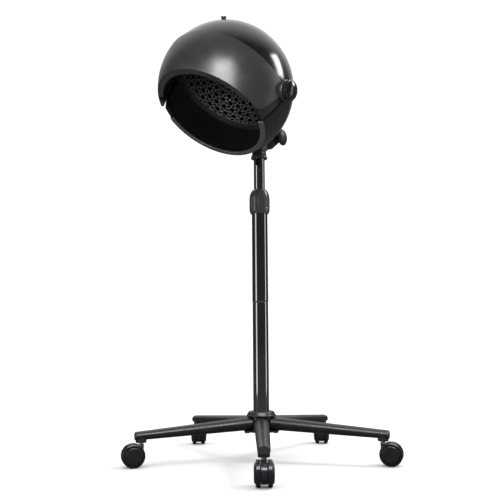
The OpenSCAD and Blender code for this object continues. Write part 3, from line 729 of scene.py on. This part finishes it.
def make_visor():
    """The flip-up visor: its shell, the flat lip under it and a boss at each pivot."""
    lean = math.radians(180 - VISOR_REAR)
    bm = pivot_sphere(VISOR_R)
    cut(bm, (0, 0, 0), meridian(SEAM_ANGLE))
    cut(bm, (0, 0, 0), meridian(VISOR_REAR))
    cut(bm, (0, 0, -OPENING_DROP), (0, 0, -1), clear=True)
    r = VISOR_CORNER
    centre = Vector((0, -(OPENING_DROP - r) * math.tan(lean) - r / math.cos(lean),
                     r - OPENING_DROP))
    keep_faces(bm, lambda p: SEAM_ANGLE < front_angle(p) < VISOR_REAR)
    steps = 8
    for i in range(1, steps):
        a = -math.pi / 2 + (math.pi / 2 - lean) * i / steps
        normal = Vector((0, math.cos(a), math.sin(a)))
        cut(bm, centre + normal * r, normal, clear=True)
    shell = piece("visor_shell", bm, HOOD, "visor", "visor_gloss", replaces=["visor"])
    solidify(shell, 2.9, 0.9, 3)

    # Lip: a flat flange inside the lower edge
    z0, z1 = -OPENING_DROP, TRIM_T - OPENING_DROP
    outer = math.sqrt(VISOR_R ** 2 - OPENING_DROP ** 2) - 1.4
    profile = rounded([(outer, z0), (outer, z1), (LIP_R, z1), (LIP_R, z0), (outer, z0)], 0.9)
    bm = lathe(profile, 240)
    cut(bm, (0, LIP_END, 0), (0, 1, 0), clear=True)
    edges = [e for e in bm.edges if e.is_boundary]
    bmesh.ops.holes_fill(bm, edges=edges)
    piece("visor_lip", outward(bm), HOOD, "visor", "visor_gloss")

    # Pivot bosses
    for side, name in ((1, "right"), (-1, "left")):
        m = along(HOOD, (side, 0, 0))
        profile = rounded([(5.2, 170.4), (26, 170.4), (26, BOSS_OUT - 2), (25.2, BOSS_OUT - 0.4),
                           (22.8, BOSS_OUT), (5.2, BOSS_OUT)], 0.8)
        piece("visor_boss_" + name, outward(lathe(profile, 96)), m, "visor", "visor_gloss")


def make_pivot_knobs():
    """A ribbed hub and a domed cap at each pivot."""
    ribs = 18
    hub_out = BOSS_OUT + 8
    profile = [(5.2, BOSS_OUT + 0.4), (21.4, BOSS_OUT + 0.4), (22.2, BOSS_OUT + 1.0),
               (22.2, hub_out - 1.0), (22.2, hub_out), (24.4, hub_out), (25.6, hub_out + 1.0),
               (25.8, hub_out + 2.2), (25.6, hub_out + 3.2), (25.0, hub_out + 4.4),
               (24.2, hub_out + 4.6)]
    crown = KNOB_OUT - hub_out - 4.4
    profile += [(24.2 * math.cos(a), hub_out + 4.4 + crown * math.sin(a))
                for a in [math.radians(90 * i / 14) for i in range(1, 14)]]
    profile.append((0, KNOB_OUT))

    def radius_at(a, r, z):
        if r > 22.3 or r < 20 or z > hub_out:
            return r
        return r + 0.9 * math.cos(ribs * a)

    for side, name in ((1, "right"), (-1, "left")):
        m = along(HOOD, (side, 0, 0))
        piece("pivot_cap_" + name, outward(lathe(profile, 216, radius_at)), m,
              "pivot_knob_" + name, "black_gloss_plastic", replaces=["pivot_knob_" + name])


def make_stop():
    """The small bumper on top of the dome."""
    a = math.radians(STOP_ANGLE)
    m = along(HOOD, (0, -math.sin(a), math.cos(a)))
    profile = rounded([(3.4, 168), (5.2, 172.2), (5.4, 174.6), (6.9, 175.6), (6.9, 179.4),
                       (0, 179.9)], 0.8)
    piece("visor_bumper", outward(lathe(profile, 48)), m, "hood", "black_matte_plastic",
          replaces=["visor_stop"])


# ---------------------------------------------------------------- controls

def dial_marks(bm, x, radius, travel, count):
    """Short plain ticks round a dial, from one end of its travel to the other."""
    for i in range(count):
        turn = travel * (0.5 - i / (count - 1))
        m = Matrix.Translation((x, 0, 0)) @ Matrix.Rotation(math.radians(turn), 4, "Z")
        long = i % 5 == 0
        start, end = radius + 1.0, radius + (2.9 if long else 2.1)
        half = 0.45 if long else 0.28
        outline = [(-half, start), (half, start), (half, end), (-half, end)]
        prism(outline, PANEL_FACE - 0.2, PANEL_FACE + 0.12, m=m, bm=bm)


def make_dial(name, x, radius, height):
    """A ridged dial with a skirt and a raised white pointer."""
    ridges = 20
    grip = radius - 3
    foot, top = PANEL_FACE + 0.4, PANEL_FACE + height
    profile = rounded([(2.9, foot - 4), (2.9, foot), (radius, foot), (radius, foot + 3),
                       (grip + 0.6, foot + 4.4), (grip - 0.4, top - 2.4), (grip - 2.2, top - 0.3),
                       (2, top - 0.5), (0, top - 0.5)], 0.7)

    def radius_at(a, r, z):
        return r - 0.7 * max(0.0, math.cos(ridges * a)) if foot + 4.6 < z < top - 2 else r

    m = PANEL @ Matrix.Translation((x, 0, 0))
    piece(name + "_dial", outward(lathe(subdivided(profile, 2), 240, radius_at)), m, name, "grey_plastic",
          replaces=[name])
    line = [(-0.8, grip * 0.35), (0.8, grip * 0.35), (0.8, grip - 2.6), (-0.8, grip - 2.6)]
    piece(name + "_pointer", outward(prism(line, top - 0.8, top - 0.1)), m, name, "print_white")


def make_controls():
    timer_x, timer_r, timer_travel = -21, 17, 300
    heat_x, heat_r, heat_travel = 23, 14, 270
    make_dial("timer_knob", timer_x, timer_r, 16)
    make_dial("heat_knob", heat_x, heat_r, 14)
    bm = bmesh.new()
    dial_marks(bm, timer_x, timer_r, timer_travel, 31)
    dial_marks(bm, heat_x, heat_r, heat_travel, 11)
    piece("panel_marks", outward(bm), PANEL, "hood", "print_white")


# ---------------------------------------------------------------- carried-over CAD pieces

def dress_cad_nodes():
    """Gives each CAD node that still shows the material of its slot, and softens its edges."""
    slots = {s["node"]: s["material_slot"] for s in frame["record"]["subparts"]}
    for name, obj in nodes.items():
        if obj.hide_render:
            continue
        obj.data.materials.clear()
        obj.data.materials.append(MAT[slots[name]])
        weld = obj.modifiers.new("weld", "WELD")
        weld.merge_threshold = 0.00001
        round_edges(obj, 0.5, 2, 35)


# ---------------------------------------------------------------- stage

def glossy_switch(tree, plain, mirrored):
    """A level that is plain, but changes to another value or socket in what shiny parts mirror."""
    path = tree.nodes.new("ShaderNodeLightPath")
    level = node_of(tree, "ShaderNodeMapRange")
    level.inputs["To Min"].default_value = plain
    tree.links.new(path.outputs["Is Glossy Ray"], level.inputs["Value"])
    if isinstance(mirrored, float):
        level.inputs["To Max"].default_value = mirrored
    else:
        tree.links.new(mirrored, level.inputs["To Max"])
    return level.outputs["Result"]


def make_stage():
    """A pale floor that fades into a white backdrop. Shiny parts mirror a dimmer studio, which is
    dark at the front and lightest high up at the back."""
    bpy.ops.mesh.primitive_plane_add(size=30)
    floor = bpy.context.object
    floor.name = "floor"
    paint = surface("floor_white", (0.92, 0.92, 0.92), 0.9, vary=0.003, grain=40, bump=0.0, spec=0.0)
    tree = paint.node_tree
    shader = tree.nodes["Principled BSDF"]
    shade = tree.nodes.new("ShaderNodeMix")
    shade.data_type = "RGBA"
    shade.inputs["A"].default_value = (0, 0, 0, 1)
    tree.links.new(shader.inputs["Base Color"].links[0].from_socket, shade.inputs["B"])
    tree.links.new(glossy_switch(tree, 1.0, 0.1), shade.inputs["Factor"])
    tree.links.new(shade.outputs["Result"], shader.inputs["Base Color"])
    floor.data.materials.append(paint)

    world = bpy.data.worlds.new("studio")
    bpy.context.scene.world = world
    world.use_nodes = True
    tree = world.node_tree
    backdrop = tree.nodes["Background"]
    backdrop.inputs["Color"].default_value = (1, 1, 1, 1)
    where = tree.nodes.new("ShaderNodeTexCoord")
    facing = tree.nodes.new("ShaderNodeVectorMath")
    facing.operation = "DOT_PRODUCT"
    facing.inputs[1].default_value = (0, 0.5, 0.866)
    tree.links.new(where.outputs["Generated"], facing.inputs[0])
    fade = node_of(tree, "ShaderNodeMapRange")
    fade.inputs["From Min"].default_value = 0.6
    fade.inputs["From Max"].default_value = 0.9
    fade.inputs["To Min"].default_value = 0.07
    fade.inputs["To Max"].default_value = 1.25
    tree.links.new(facing.outputs["Value"], fade.inputs["Value"])
    tree.links.new(glossy_switch(tree, 1.15, fade.outputs["Result"]), backdrop.inputs["Strength"])


def soft_light(name, azimuth, elevation, distance, size, power, target=(0, 0, 0.6)):
    """An area light that faces the target, seen from it at this azimuth and elevation."""
    a, e = math.radians(azimuth), math.radians(elevation)
    out = Vector((math.sin(a) * math.cos(e), -math.cos(a) * math.cos(e), math.sin(e)))
    data = bpy.data.lights.new(name, "AREA")
    data.shape = "RECTANGLE"
    data.size, data.size_y = size
    data.energy = power
    lamp = bpy.data.objects.new(name, data)
    lamp.location = Vector(target) + out * distance
    lamp.rotation_mode = "QUATERNION"
    lamp.rotation_quaternion = out.to_track_quat("Z", "Y")
    bpy.context.scene.collection.objects.link(lamp)
    return lamp


def only_for(lamp, names):
    """Keeps a light to some pieces, so that its mirror image doesn't show in the others."""
    lit = bpy.data.collections.new("lit_by_" + lamp.name)
    for obj in bpy.context.scene.collection.objects:
        if obj.name.startswith(names):
            lit.objects.link(obj)
    lamp.light_linking.receiver_collection = lit


def make_lights():
    hood = vec("visor_flip", "pos_m")
    key = soft_light("key_front", -5, 2, 1.9, (1.0, 1.5), 95, hood)
    only_for(key, KEY_LIGHTS)
    over = soft_light("over_base", 5, 48, 2.0, (1.8, 0.8), 55, (0, 0, 0.1))
    only_for(over, BASE_LIGHTS)
    soft_light("strip_left", -62, 0, 2.2, (0.7, 1.5), 9, (0, 0, 0.75))
    soft_light("strip_right", 84, 0, 2.2, (0.4, 1.5), 6, (0, 0, 0.75))
    soft_light("window_high", 99, 29, 2.0, (0.5, 0.8), 18, hood)


def make_camera():
    """The camera, at the photograph's viewing angle."""
    pitch, roll = math.radians(8.0), math.radians(-0.363)
    data = bpy.data.cameras.new("camera")
    data.sensor_width = 36
    data.lens = 47.33
    data.clip_end = 60
    cam = bpy.data.objects.new("camera", data)
    cam.location = (-0.0267, -1.7518, 0.2986)
    look = Matrix.Rotation(math.pi / 2 + pitch, 4, "X") @ Matrix.Rotation(roll, 4, "Z")
    cam.rotation_mode = "QUATERNION"
    cam.rotation_quaternion = look.to_quaternion()
    bpy.context.scene.collection.objects.link(cam)
    bpy.context.scene.camera = cam


make_hub()
for leg_index, leg_name in enumerate(LEG_NAMES):
    make_leg(leg_name, math.radians(-90 + 72 * leg_index))
    make_caster(leg_name)
make_leg_sockets()
make_pole()
make_collar()
make_tilt_knob()
make_outer_shell()
make_rim()
make_liner()
make_inner_shell()
make_visor()
make_pivot_knobs()
make_stop()
make_controls()
dress_cad_nodes()
make_stage()
make_lights()
make_camera()
bpy.context.scene.view_settings.view_transform = "Standard"
